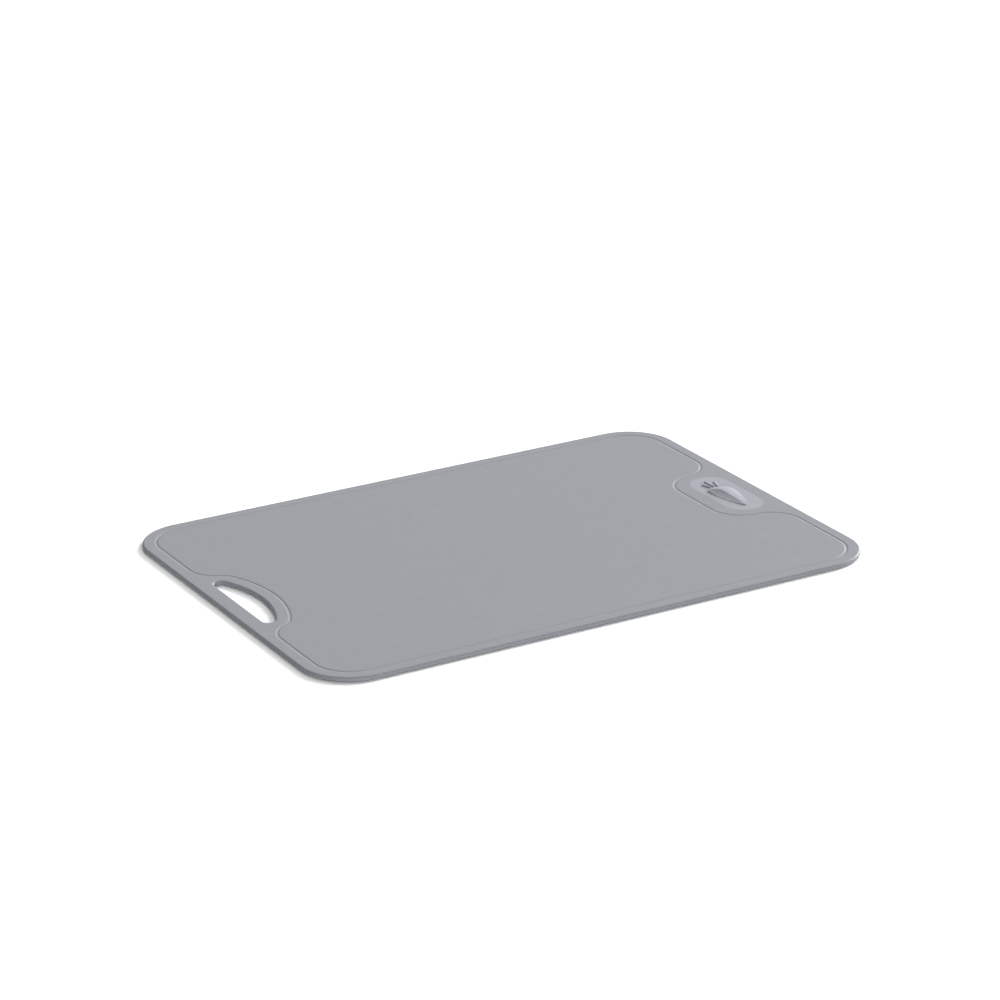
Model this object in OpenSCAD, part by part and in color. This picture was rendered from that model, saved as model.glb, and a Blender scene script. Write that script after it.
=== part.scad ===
// Flexible cutting mat: a firm sheet framed by a soft rim, with a hand hole at one
// end and a food pad with a raised carrot at the other.
// The mat lies flat. X runs along its length, Y across it and Z up, and the origin
// is under its middle, on the surface that it rests on.

/* [Mat] */
// Length along X
mat_l = 350; // [320:5:400]
// Width along Y
mat_w = 250; // [220:5:300]
// Thickness at the rim
mat_t = 3; // [3:0.1:3.6]
// Corner radius, seen from above
corner_r = 30; // [26:1:40]
// Radius of the rounded top and bottom edges
edge_r = 1.4; // [0.6:0.1:1.4]

/* [Joint between sheet and rim] */
// Distance from the outer edge to the joint line
rim_w = 8; // [7:0.5:9]
// Width of the V that runs along the joint line
line_w = 2.2; // [1:0.2:3]
// Depth of the V
line_d = 0.3; // [0.2:0.1:0.7]
// Reach of the sheet's tongue into the rim
tongue_w = 2; // [1:0.5:2.5]
// Thickness of the tongue
tongue_t = 1; // [0.6:0.1:1.2]
// Height of the rim's foot, which stands below the sheet
foot_h = 0.3; // [0.1:0.1:0.5]
// Bend radius where the joint line turns off into a bay
mouth_r = 18; // [14:1:20]

/* [Hand hole] */
// Distance from the mat's end to the straight side of the hole
hole_edge = 10.7; // [9:0.1:13]
// Width of the hole across its middle
hole_w = 14.2; // [13:0.1:16]
// Radius of the bowed side of the hole
hole_bow_r = 70; // [60:1:90]
// Radius of the two ends of the hole
hole_end_r = 3.6; // [3:0.1:4.4]
// Distance from the hole's bowed side to the joint line
hole_gap = 8; // [7:0.5:10]

/* [Food pad] */
// Length of the pad along Y
pad_l = 58.6; // [52:0.2:60]
// Width of the pad along X
pad_w = 24.4; // [20:0.2:25]
// Thickness of the part of the pad that shows
pad_t = 0.9; // [0.7:0.1:1]
// Reach of the hidden lip that holds the pad in the rim
lip_w = 1.2; // [0.6:0.2:2]
// Distance from the mat's end to the joint line behind the pad
bay_d = 43.6; // [41:0.2:46]
// Length of the bay round the pad
bay_l = 73; // [72:1:80]
// Corner radius of the bay
bay_r = 19.5; // [16:0.5:22]

/* [Carrot figure] */
// Length of the root
root_l = 32.8; // [30:0.2:34]
// Width of the root across its shoulders
root_w = 14.2; // [13:0.2:16]
// Height of the root's crest above the pad
root_h = 2.2; // [1.4:0.1:2.6]
// Distance from the pad's middle to the top of the root
root_top = 11.3; // [10:0.1:12]
// Length of the middle leaf
leaf_l = 10; // [8:0.5:12]
// Thickness of a leaf
leaf_t = 2; // [1.4:0.1:2.2]
// Angle between one leaf and the next
leaf_fan = 17; // [12:1:20]

/* [Hidden] */
$fa = 3;
$fs = 0.3;

rim_colour = [0.62, 0.63, 0.65];
sheet_colour = [0.60, 0.62, 0.64];
pad_colour = [0.72, 0.74, 0.77];
figure_colour = [0.76, 0.78, 0.81];

// Cutters run past the faces that they cut by this much
past = 1;
end_x = mat_l / 2;
line_x = end_x - rim_w;
line_y = mat_w / 2 - rim_w;
mouth_x = line_x - mouth_r;

// Each edge is a profile carried along its outline. The profile reaches band_w into the
// piece, and the plain core of the piece overlaps it from core_gap inwards.
band_w = 3.4;
core_gap = 2.4;
slot_wall = 1.6;
joint_band_w = tongue_w + slot_wall;
joint_core_gap = tongue_w + slot_wall / 2;

// Heights: the tongue lies at mid thickness, the pad's lip and the plugs under the pad's skin
tongue_z = (mat_t - tongue_t) / 2;
pad_skin_z = mat_t - pad_t;
lip_t = 0.9;
lip_z = pad_skin_z - lip_t;

// Angles where two arcs meet are kept to this many degrees, and what depends on them follows
angle_step = 0.01;
function kept(angle) = round(angle / angle_step) * angle_step;

// Hand hole: one straight side, one bowed side and two ends that touch both
bow_c = [hole_edge - end_x + hole_w - hole_bow_r, 0];
bow_a = kept(acos((hole_bow_r + hole_end_r - hole_w) / (hole_bow_r - hole_end_r)));
end_c = bow_c + (hole_bow_r - hole_end_r) * [cos(bow_a), sin(bow_a)];

// The joint line round the hole: a bend at each end, and a mouth arc that leads to it
bend_r = hole_end_r + hole_gap;
hand_turn = kept(acos((-mouth_x - end_c.x) / (mouth_r + bend_r)));
hand_mouth_r = (line_x + end_c.x + bend_r * cos(hand_turn)) / (1 - cos(hand_turn));
hand_mouth = end_c + (hand_mouth_r + bend_r) * [cos(hand_turn), sin(hand_turn)];

// Food pad, and the joint line round it: a corner at each end, and a mouth arc
pad_c = [end_x - bay_d / 2, 0];
pad_turn = kept(acos((bay_d - rim_w) / (mouth_r + bay_r) - 1));
bay_c = [mouth_x + (mouth_r + bay_r) * -cos(pad_turn), bay_l / 2 - bay_r];
pad_mouth = bay_c + (mouth_r + bay_r) * [cos(pad_turn), sin(pad_turn)];

// Root: two shoulders, a small tip, a crown over the shoulders and two bowed sides
shoulder_r = 4.6;
tip_r = 0.9;
crown_r = 10;
side_r = 52;
root_c = [pad_c.x - 0.9, root_top];

// Relief of the root: a pillow, which is a ball at the crown and a round back that sinks to
// the tip. A hollow facet rises from the near side, and the two meet in the crest.
crown_l = 10;
crown_h = 0.4;
crown_fall = root_h - crown_h;
pillow_r = (crown_l * crown_l + crown_fall * crown_fall) / (2 * crown_fall);
crest_x = -1.2;
tip_h = 0.6;
sink = atan((root_h - tip_h) / (root_l - crown_l));
facet_h = 0.2;
facet_lean = 10;
facet_r = 22;

shoulder_c = [root_w / 2 - shoulder_r, -5.4];
tip_c = [0, tip_r - root_l];

// Leaves: their lines meet inside the root, leaf_meet below its top. A leaf starts
// leaf_gap above the root and rises leaf_rise above the pad.
leaf_meet = 7;
leaf_gap = 0.9;
leaf_rise = 0.7;
leaf_share = [0.72, 1, 0.82];

// Shapes made of arcs
// An outline is a list of arcs, counter-clockwise round the shape. Each arc is
// [centre, radius, first angle, last angle]. The angle rises where the outline bends
// outwards and falls where it bends inwards, and straight runs fill the gaps.

function at(c, r, a) = [c.x + r * cos(a), c.y + r * sin(a)];
function first_pt(arc) = at(arc[0], arc[1], arc[2]);
function last_pt(arc) = at(arc[0], arc[1], arc[3]);
function bends_out(arc) = arc[3] > arc[2];
function angle_to(p, q) = atan2(q.y - p.y, q.x - p.x);

// The same outline, moved outwards by d
function grow(outline, d) = [
    for (arc = outline) [arc[0], arc[1] + (bends_out(arc) ? d : -d), arc[2], arc[3]]
];

// The arcs of a list mirrored over the X axis, in the order that keeps the direction
function flip(arcs) = [
    for (i = [len(arcs) - 1:-1:0])
        let (arc = arcs[i]) [[arc[0].x, -arc[0].y], arc[1], -arc[3], -arc[2]]
];

// The same outline, moved to another place
function moved(outline, by) = [for (arc = outline) [arc[0] + by, arc[1], arc[2], arc[3]]];

// Points along an outline, one for each 6 degrees of its arcs
function points(outline) = [
    for (arc = outline)
        let (turn = arc[3] - arc[2], n = ceil(abs(turn) / 6))
            for (i = [0.5:n]) at(arc[0], arc[1], arc[2] + turn * i / n)
];

function rounded_rect(l, w, r) = [
    for (i = [0:3])
        let (sx = i < 2 ? 1 : -1, sy = i == 1 || i == 2 ? 1 : -1)
            [[sx * (l / 2 - r), sy * (w / 2 - r)], r, 90 * i - 90, 90 * i]
];

// Centre of the circle of radius r that holds two smaller circles inside, touching both
function holder(p, rp, q, rq, r) =
    let (
        d = norm(q - p),
        a = r - rp,
        b = r - rq,
        along = (d * d + a * a - b * b) / (2 * d),
        off = sqrt(a * a - along * along),
        u = (q - p) / d
    ) p + along * u + off * [-u.y, u.x];

mat_outline = rounded_rect(mat_l, mat_w, corner_r);

hole_outline = [
    [bow_c, hole_bow_r, -bow_a, bow_a],
    [end_c, hole_end_r, bow_a, 180],
    [[end_c.x, -end_c.y], hole_end_r, 180, 360 - bow_a],
];

// The joint line: a rounded rectangle that swings in round the pad and round the hole
half_pad_bay = [
    [bay_c, bay_r, 180, pad_turn],
    [pad_mouth, mouth_r, pad_turn - 180, 0],
];
half_hand_bay = [
    [hand_mouth, hand_mouth_r, 180, hand_turn + 180],
    [end_c, bend_r, hand_turn, bow_a],
];
corners = rounded_rect(2 * line_x, 2 * line_y, corner_r - rim_w);
sheet_outline = concat(
    [corners[0]],
    flip(half_pad_bay),
    half_pad_bay,
    [corners[1], corners[2]],
    half_hand_bay,
    [[bow_c, hole_bow_r + hole_gap, bow_a, -bow_a]],
    flip(half_hand_bay),
    [corners[3]]
);

// The carrot's root, with its crown at the local origin and its tip towards -Y
side_c = holder(tip_c, tip_r, shoulder_c, shoulder_r, side_r);
crown_c = [0, shoulder_c.y - sqrt(pow(crown_r - shoulder_r, 2) - pow(shoulder_c.x, 2))];
crown_a = angle_to(crown_c, shoulder_c);
shoulder_a = angle_to(side_c, shoulder_c);
tip_a = angle_to(side_c, tip_c);
root_outline = moved([
    [side_c, side_r, tip_a, shoulder_a],
    [shoulder_c, shoulder_r, shoulder_a, crown_a],
    [crown_c, crown_r, crown_a, 180 - crown_a],
    [[-shoulder_c.x, shoulder_c.y], shoulder_r, 180 - crown_a, 180 - shoulder_a],
    [[-side_c.x, side_c.y], side_r, 180 - shoulder_a, 180 - tip_a],
    [tip_c, tip_r, 180 - tip_a, 360 + tip_a],
], root_c);

// Moves to p in two steps, a coarse one and the small rest, so that the rest keeps its digits
module place(p) {
    coarse = [round(p.x * 100) / 100, round(p.y * 100) / 100];
    translate(coarse) translate(p - coarse) children();
}

// A profile carried along an outline: its x points outwards and its y up. A straight run is
// two halves that overlap in the middle, each measured from its own end.
module sweep(outline) {
    count = len(outline);
    for (i = [0:count - 1]) {
        arc = outline[i];
        place(arc[0])
            rotate_extrude(start = min(arc[2], arc[3]), angle = abs(arc[3] - arc[2]))
                place([arc[1], 0])
                    if (bends_out(arc)) children(); else mirror([1, 0]) children();
        from = last_pt(arc);
        to = first_pt(outline[(i + 1) % count]);
        half = ceil(norm(to - from) * 5) / 10;
        if (norm(to - from) > 0.01)
            for (end = [0, 1])
                place(end == 0 ? to : from) rotate([90, 0, angle_to(from, to) - 90])
                    translate([0, 0, -end * half]) linear_extrude(half) children();
    }
}

module stadium(l, w) {
    square([w, l - w], center = true);
    for (side = [-1, 1]) translate([0, side * (l - w) / 2]) circle(d = w);
}

// Profiles of the edges

// The sheet's edge: a tongue at mid thickness and half of the V at the top
module sheet_edge() {
    polygon([
        [-band_w, foot_h],
        [0, foot_h],
        [0, tongue_z],
        [tongue_w, tongue_z],
        [tongue_w, tongue_z + tongue_t],
        [0, tongue_z + tongue_t],
        [0, mat_t - line_d],
        [-line_w / 2, mat_t],
        [-band_w, mat_t],
    ]);
}

// The rim's inner edge: a slot that holds the tongue, and the other half of the V
module rim_edge() {
    polygon([
        [0, 0],
        [joint_band_w, 0],
        [joint_band_w, mat_t],
        [line_w / 2, mat_t],
        [0, mat_t - line_d],
        [0, tongue_z + tongue_t],
        [tongue_w, tongue_z + tongue_t],
        [tongue_w, tongue_z],
        [0, tongue_z],
    ]);
}

// The round nose of the rim's outer edge and of the hand hole, with the material at -x
module nose() {
    difference() {
        translate([-band_w, 0]) square([band_w, mat_t]);
        for (up = [0, 1]) translate([0, up * mat_t]) mirror([0, up]) difference() {
            translate([-edge_r, -past]) square(edge_r + past);
            translate([-edge_r, edge_r]) circle(edge_r);
        }
    }
}

// The pad with its lip, as a solid that reaches up to height top
module pad_form(top) {
    translate([pad_c.x, pad_c.y, lip_z]) {
        linear_extrude(lip_t) stadium(pad_l + 2 * lip_w, pad_w + 2 * lip_w);
        linear_extrude(top - lip_z) stadium(pad_l, pad_w);
    }
}

// One leaf: a rod with round ends, half sunk in the pad, leaning by angle a
module leaf(l, a) {
    meet = [root_c.x, root_c.y - leaf_meet, mat_t + leaf_rise - leaf_t / 2];
    start = leaf_meet + leaf_gap + leaf_t / 2;
    translate(meet) rotate(a) translate([0, start, 0]) {
        sphere(leaf_t / 2);
        rotate([-90, 0, 0]) cylinder(h = l - leaf_t, d = leaf_t);
        translate([0, l - leaf_t, 0]) sphere(leaf_t / 2);
    }
}

module leaves() {
    for (i = [0:2]) leaf(leaf_l * leaf_share[i], leaf_fan * (1 - i));
}

// The root as a plain block that reaches up to height top
module root_block(top) {
    translate([0, 0, pad_skin_z]) linear_extrude(top - pad_skin_z) polygon(points(root_outline));
}

// What is cut off above the facet: a cylinder that lies along the near side of the root
module facet_cut() {
    a = 180 - (shoulder_a + tip_a) / 2;
    foot = at(root_c + [-side_c.x, side_c.y], side_r + facet_r * sin(facet_lean), a);
    translate([0, 0, mat_t + facet_h + facet_r * cos(facet_lean)]) place(foot) rotate([90, 0, a])
        cylinder(h = 2 * root_l, r = facet_r, center = true, $fn = 240);
}

// Sub-parts

module cutting_sheet() color(sheet_colour) {
    translate([0, 0, foot_h]) linear_extrude(mat_t - foot_h)
        polygon(points(grow(sheet_outline, -core_gap)));
    sweep(sheet_outline) sheet_edge();
}

module soft_rim() color(rim_colour) {
    difference() {
        union() {
            linear_extrude(mat_t) difference() {
                polygon(points(grow(mat_outline, -core_gap)));
                polygon(points(grow(sheet_outline, joint_core_gap)));
                polygon(points(grow(hole_outline, core_gap)));
            }
            sweep(mat_outline) nose();
            sweep(hole_outline) mirror([1, 0]) nose();
            sweep(sheet_outline) rim_edge();
        }
        pad_form(mat_t + past);
    }
}

module food_pad() color(pad_colour) {
    difference() {
        pad_form(mat_t);
        root_block(mat_t + past);
        leaves();
    }
}

module carrot_root() color(figure_colour) {
    difference() {
        intersection() {
            root_block(mat_t + root_h + past);
            translate([root_c.x + crest_x, root_c.y - crown_l, mat_t + root_h - pillow_r])
                rotate([90 + sink, 0, 0]) {
                    sphere(pillow_r, $fn = 240);
                    cylinder(h = 2 * root_l, r = pillow_r, $fn = 240);
                }
        }
        facet_cut();
    }
}

module carrot_leaves() color(figure_colour) {
    leaves();
}

cutting_sheet();
soft_rim();
food_pad();
carrot_root();
carrot_leaves();
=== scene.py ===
# %% [markdown]
# # A flexible cutting mat
# A cutting mat for the kitchen is a thin moulded plate. This one has a firm grey sheet, a soft
# frame moulded round it, a D-shaped hand hole, and a small lighter pad with a raised carrot.
# The solids come ready made, so this lesson is about camera, light and finish.

# %% Load the solids
import math

import bpy
from mathutils import Matrix, Vector


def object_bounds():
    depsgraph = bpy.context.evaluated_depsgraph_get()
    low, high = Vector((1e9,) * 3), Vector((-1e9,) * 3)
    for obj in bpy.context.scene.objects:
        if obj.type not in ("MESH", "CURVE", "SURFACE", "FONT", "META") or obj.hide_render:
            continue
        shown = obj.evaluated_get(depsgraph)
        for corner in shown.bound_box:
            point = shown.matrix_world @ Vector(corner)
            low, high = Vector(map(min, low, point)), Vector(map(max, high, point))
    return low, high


MM = 0.001

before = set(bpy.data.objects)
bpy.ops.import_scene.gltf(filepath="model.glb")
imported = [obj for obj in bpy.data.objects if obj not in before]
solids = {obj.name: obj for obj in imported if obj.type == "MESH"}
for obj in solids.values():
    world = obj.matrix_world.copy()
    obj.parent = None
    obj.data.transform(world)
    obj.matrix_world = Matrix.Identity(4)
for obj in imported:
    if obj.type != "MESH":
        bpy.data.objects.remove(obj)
cad_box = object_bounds()
print("solids:", ", ".join(sorted(solids)))
print("CAD box in mm:", [[round(v / MM, 2) for v in corner] for corner in cad_box])

# %% [markdown]
# ## The camera
# The mat was photographed from its left front corner with a long lens, so its far edge is almost
# as wide as its near one. A camera can be turned by hand until it looks right, or placed from an
# angle, a height and a distance. The second is repeatable, so the numbers below are used. The
# small roll and the shifts to the right and up put the mat at its place in the square frame.

# %% Place the camera
CAMERA_AZIMUTH = -29.7295
CAMERA_ELEVATION = 21.0907
CAMERA_ROLL = -0.6489
CAMERA_DISTANCE = 2059.62 * MM
CAMERA_RIGHT = 0.121 * MM
CAMERA_UP = 27.684 * MM
SENSOR = 36.0
LENS = 3.64135 * SENSOR


def camera_axes(azimuth, elevation, roll):
    """The camera's right, up and back. Azimuth 0 looks along +Y, and all angles are degrees."""
    a, e, r = (math.radians(v) for v in (azimuth, elevation, roll))
    back = Vector((math.sin(a) * math.cos(e), -math.cos(a) * math.cos(e), math.sin(e)))
    right = Vector((math.cos(a), math.sin(a), 0))
    up = back.cross(right)
    turned_right = right * math.cos(r) + up * math.sin(r)
    turned_up = up * math.cos(r) - right * math.sin(r)
    return turned_right, turned_up, back


right, up, back = camera_axes(CAMERA_AZIMUTH, CAMERA_ELEVATION, CAMERA_ROLL)
camera_data = bpy.data.cameras.new("long_lens")
camera_data.sensor_width = SENSOR
camera_data.lens = LENS
camera = bpy.data.objects.new("camera", camera_data)
bpy.context.scene.collection.objects.link(camera)
place = Matrix((right, up, back)).transposed().to_4x4()
place.translation = back * CAMERA_DISTANCE + right * CAMERA_RIGHT + up * CAMERA_UP
camera.matrix_world = place
bpy.context.scene.camera = camera
print("lens", round(LENS, 1), "mm, camera at", [round(v, 3) for v in camera.location])

# %% [markdown]
# ## The white paper
# The mat lies on white paper. A white floor that is only lit looks pale grey in a render, and more
# lamps would bleach the mat. So the paper is paler to the eye than it is to the mat: a switch
# picks one tone for what is seen, straight on, in a gloss or through glass, and a plain white for
# the light that bounces. The mat's shadow still shows, because the same lamps light the paper.

# %% Make the paper
PAPER = 0.9
PAPER_SEEN = 1.45


def node(tree, kind, **settings):
    """A new node in a material's or the world's tree, with its settings made."""
    made = tree.nodes.new(kind)
    for name, value in settings.items():
        setattr(made, name, value)
    return made


def is_seen(tree):
    """1 for rays from the camera, off a gloss or through glass, and 0 for light that bounces."""
    path = node(tree, "ShaderNodeLightPath")
    direct = node(tree, "ShaderNodeMath", operation="MAXIMUM")
    either = node(tree, "ShaderNodeMath", operation="MAXIMUM")
    tree.links.new(path.outputs["Is Camera Ray"], direct.inputs[0])
    tree.links.new(path.outputs["Is Glossy Ray"], direct.inputs[1])
    tree.links.new(direct.outputs["Value"], either.inputs[0])
    tree.links.new(path.outputs["Is Transmission Ray"], either.inputs[1])
    return either.outputs["Value"]


def paper_material():
    material = bpy.data.materials.new("white_paper")
    material.use_nodes = True
    tree = material.node_tree
    tree.nodes.clear()
    paper = node(tree, "ShaderNodeBsdfDiffuse")
    tone = node(tree, "ShaderNodeMapRange")
    tone.inputs["To Min"].default_value = PAPER
    tone.inputs["To Max"].default_value = PAPER_SEEN
    out = node(tree, "ShaderNodeOutputMaterial")
    tree.links.new(is_seen(tree), tone.inputs["Value"])
    tree.links.new(tone.outputs["Result"], paper.inputs["Color"])
    tree.links.new(paper.outputs["BSDF"], out.inputs["Surface"])
    return material


white_paper = paper_material()
print("paper tone:", PAPER, "for light that bounces,", PAPER_SEEN, "where it is seen")

# %% [markdown]
# ## The floor
# A studio backdrop is a long roll of paper without an edge in sight. It can be bent up behind the
# object, or lie flat and reach far past the camera's view. Flat is enough here, because the camera
# looks down. The paper lies at the lowest point of the solids, so the mat rests on it.

# %% Lay the floor
FLOOR_HALF = 6.0

corners = [(x * FLOOR_HALF, y * FLOOR_HALF, 0) for x, y in ((-1, -1), (1, -1), (1, 1), (-1, 1))]
floor_mesh = bpy.data.meshes.new("floor")
floor_mesh.from_pydata(corners, [], [range(len(corners))])
floor = bpy.data.objects.new("floor", floor_mesh)
floor.location.z = cad_box[0].z
floor.data.materials.append(white_paper)
bpy.context.scene.collection.objects.link(floor)
print("floor at", round(floor.location.z / MM, 3), "mm")

# %% [markdown]
# ## The lamps
# On the photographed mat, walls that face the left are dark and walls that face away to the right
# are bright, while the flat top has one tone from end to end. A lamp that hangs close by would
# leave a bright spot. A sun lamp lights every spot alike, and a wide angle turns it into a soft
# studio screen. The key is a broad screen low on the right: low, so that it models the shallow
# groove and the carrot, and broad, so that the carrot throws no hard shadow. A second screen high
# behind the mat puts a sheen on edges that slope towards the camera, and a weak low one lifts the
# front edge.

# %% Hang the lamps
LAMPS = {
    "key": dict(azimuth=22, height=20, width=36, level=0.50),
    "back": dict(azimuth=60, height=50, width=30, level=0.18),
    "front": dict(azimuth=-100, height=8, width=16, level=0.07),
}


def soft_sun(name, azimuth, height, width, level):
    """A lamp far away. All angles are degrees, azimuth runs from +X to +Y, and level is what
    the lamp adds to a flat top, where 1 shows a colour as it is written."""
    a, h = math.radians(azimuth), math.radians(height)
    towards = Vector((math.cos(a) * math.cos(h), math.sin(a) * math.cos(h), math.sin(h)))
    data = bpy.data.lights.new(name, "SUN")
    data.angle = math.radians(width)
    data.energy = level * math.pi / math.sin(h)
    lamp = bpy.data.objects.new(name, data)
    lamp.location = towards
    lamp.rotation_mode = "QUATERNION"
    lamp.rotation_quaternion = towards.to_track_quat("Z", "Y")
    bpy.context.scene.collection.objects.link(lamp)


for lamp_name, facts in LAMPS.items():
    soft_sun(lamp_name, **facts)
lamp_light = sum(facts["level"] for facts in LAMPS.values())
print("light of the lamps on the flat top:", round(lamp_light, 2))

# %% [markdown]
# ## The sky
# The pale walls of a studio fill the shadows, and they show wherever the object has a gloss. A
# world can be one even tone, or have one tone to light with and another to be seen. One tone that
# is white enough to be seen would flatten every shadow, so the world is switched as the paper is:
# dim where it lights the mat, and pale where it is seen.

# %% Set the sky
SKY = 0.25
SKY_SEEN = 1.0


def studio_world():
    """The world, and the light that it adds on a flat top."""
    world = bpy.data.worlds.new("studio")
    world.use_nodes = True
    tree = world.node_tree
    tree.nodes.clear()
    dim = node(tree, "ShaderNodeBackground")
    dim.inputs["Strength"].default_value = SKY
    pale = node(tree, "ShaderNodeBackground")
    pale.inputs["Strength"].default_value = SKY_SEEN
    pick = node(tree, "ShaderNodeMixShader")
    out = node(tree, "ShaderNodeOutputWorld")
    tree.links.new(is_seen(tree), pick.inputs["Fac"])
    tree.links.new(dim.outputs["Background"], pick.inputs[1])
    tree.links.new(pale.outputs["Background"], pick.inputs[2])
    tree.links.new(pick.outputs["Shader"], out.inputs["Surface"])
    return world, SKY * dim.inputs["Color"].default_value[0]


bpy.context.scene.world, sky_light = studio_world()
print("light of the sky:", round(sky_light, 2), "and all light:", round(lamp_light + sky_light, 2))

# %% [markdown]
# ## Grain and mottle
# The mould leaves a fine grain on every face, and the pigment in the plastic is never spread quite
# evenly. Painted images of either would repeat and blur, so both are made from noise, which has no
# edge and no end. The noise is tied to the piece and not to the view, and its size is given in mm.

# %% Make the noise
# Noise runs from 0 to 1, but nearly all of it lies between these two
NOISE_LOW = 0.3
NOISE_HIGH = 0.7


def noise_scale(size_mm):
    return 1 / (size_mm * MM)


def noise(tree, coords, size_mm, detail):
    made = node(tree, "ShaderNodeTexNoise")
    made.inputs["Scale"].default_value = noise_scale(size_mm)
    made.inputs["Detail"].default_value = detail
    tree.links.new(coords.outputs["Object"], made.inputs["Vector"])
    return made


def spread(tree, source, low, high):
    """The noise of source, stretched so that it runs from low to high."""
    made = node(tree, "ShaderNodeMapRange")
    made.inputs["From Min"].default_value = NOISE_LOW
    made.inputs["From Max"].default_value = NOISE_HIGH
    made.inputs["To Min"].default_value = low
    made.inputs["To Max"].default_value = high
    tree.links.new(source.outputs["Fac"], made.inputs["Value"])
    return made.outputs["Result"]


print("a grain of 1 mm is noise of scale", round(noise_scale(1)))

# %% [markdown]
# ## The moulded plastics
# All pieces are coloured plastic that takes its surface from the mould. The mould of the sheet has
# a fine grain, so that food doesn't slide; the pad is smoother. One plain colour with one roughness
# would look like paint on a screen. So a fine noise lifts the surface by about a hundredth of a
# millimetre and varies its roughness, and a broad faint one shifts the colour.

# %% Mix the plastics
GREY = (0.292, 0.307, 0.334)
PALE_GREY = (0.374, 0.390, 0.433)

# The width and the height of the grain are in mm
FINISHES = {
    "sheet": dict(color=GREY, rough=0.50, grain=0.5, height=0.020),
    "rim": dict(color=GREY, rough=0.50, grain=0.5, height=0.012),
    "pad": dict(color=PALE_GREY, rough=0.48, grain=0.7, height=0.006),
    "figure": dict(color=PALE_GREY, rough=0.46, grain=0.7, height=0.004),
}
SHEEN = 0.2
ROUGH_SPREAD = 0.06
GRAIN_DETAIL = 2
MOTTLE_SIZE = 5.0
MOTTLE_DEPTH = 0.02
MOTTLE_DETAIL = 3

# A mix node has a set of sockets for each kind of data, and these are the ones for colour
MIX_FACTOR = 0
MIX_FIRST = 6
MIX_SECOND = 7
MIX_RESULT = 2


def shade(color, factor):
    return [channel * factor for channel in color] + [1]


def moulded(name, color, rough, grain, height):
    material = bpy.data.materials.new(name)
    material.use_nodes = True
    tree = material.node_tree
    shader = tree.nodes["Principled BSDF"]
    shader.inputs["Specular IOR Level"].default_value = SHEEN
    coords = node(tree, "ShaderNodeTexCoord")
    mottle = noise(tree, coords, MOTTLE_SIZE, MOTTLE_DETAIL)
    fine = noise(tree, coords, grain, GRAIN_DETAIL)

    tone = node(tree, "ShaderNodeMix", data_type="RGBA")
    tone.inputs[MIX_FIRST].default_value = shade(color, 1 - MOTTLE_DEPTH)
    tone.inputs[MIX_SECOND].default_value = shade(color, 1 + MOTTLE_DEPTH)
    tree.links.new(spread(tree, mottle, 0, 1), tone.inputs[MIX_FACTOR])
    tree.links.new(tone.outputs[MIX_RESULT], shader.inputs["Base Color"])

    matt = spread(tree, fine, rough - ROUGH_SPREAD, rough + ROUGH_SPREAD)
    tree.links.new(matt, shader.inputs["Roughness"])

    bump = node(tree, "ShaderNodeBump")
    bump.inputs["Distance"].default_value = height * MM
    tree.links.new(fine.outputs["Fac"], bump.inputs["Height"])
    tree.links.new(bump.outputs["Normal"], shader.inputs["Normal"])
    return material


plastics = {name: moulded(name + "_plastic", **facts) for name, facts in FINISHES.items()}
print("plastics:", ", ".join(plastic.name for plastic in plastics.values()))

# %% [markdown]
# ## Which piece gets which plastic
# The sheet and the rim are moulded in one grey, the pad and the carrot in a paler one. A finish can
# go on a new piece that stands in for the solid, or on the solid itself. The solids here have
# their right shape down to the groove, so each one keeps its mesh and only its slots are filled.

# %% Dress every piece
PIECES = {
    "cutting_sheet": "sheet",
    "soft_rim": "rim",
    "food_pad": "pad",
    "carrot_root": "figure",
    "carrot_leaves": "figure",
}

for piece, finish in PIECES.items():
    materials = solids[piece].data.materials
    for slot in range(len(materials)):
        materials[slot] = plastics[finish]
    print(piece, "has", len(materials), "slot(s) with", plastics[finish].name)

# %% [markdown]
# ## Colour
# The Standard view shows colours as written. Looks never change the size of a part.

# %% Show colours as written
bpy.context.scene.view_settings.view_transform = "Standard"
